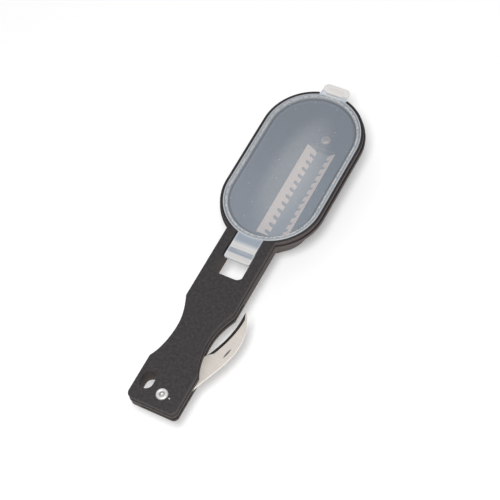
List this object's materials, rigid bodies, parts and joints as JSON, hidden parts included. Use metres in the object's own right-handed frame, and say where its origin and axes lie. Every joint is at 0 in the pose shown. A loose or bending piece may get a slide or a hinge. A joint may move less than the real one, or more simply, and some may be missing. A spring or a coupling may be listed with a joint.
{
  "type": "fish scaler",
  "caption": "Hand-held fish scaler: flat handle with a folding gutting knife, and an oval head with a hinged translucent lid over a tub and two sloping toothed blades.",
  "frame": {"origin": "centre of the lid's flat outer face, in that face, with the lid closed", "axes": "+Z is the lid face's outward normal, +Y points along the tool from the handle to the head, +X is to the side the knife swings out of"},
  "size_m": [0.0602, 0.2173, 0.0328],
  "materials": {
    "frame_plastic": "fine spark-eroded texture, charcoal",
    "tub_plastic": "fine spark-eroded texture, charcoal",
    "carrier_plastic": "satin black",
    "scraper_steel": "stamped stainless strip",
    "screw_steel": "bright zinc",
    "lid_plastic": "milky translucent polypropylene",
    "knife_steel": "fine satin ground stainless",
    "rivet_steel": "bright nickel plate"
  },
  "bodies": {
    "handle": {"top_frame": "frame_plastic", "tub": "tub_plastic", "blade_carrier": "carrier_plastic", "blade_left": "scraper_steel", "blade_right": "scraper_steel", "carrier_screws": "screw_steel", "rivet": "rivet_steel"},
    "lid": {"lid": "lid_plastic"},
    "knife": {"knife_blade": "knife_steel"}
  },
  "joints": [
    {"name": "lid_hinge", "type": "hinge", "parent": "handle", "child": "lid", "pos_m": [0, -0.0617, -0.0033], "axis": [1, 0, 0], "range_deg": [0, 140]},
    {"name": "knife_pivot", "type": "hinge", "parent": "handle", "child": "knife", "pos_m": [0.003, -0.1517, -0.0069], "axis": [0, 0, 1], "range_deg": [-160, 20]}
  ]
}
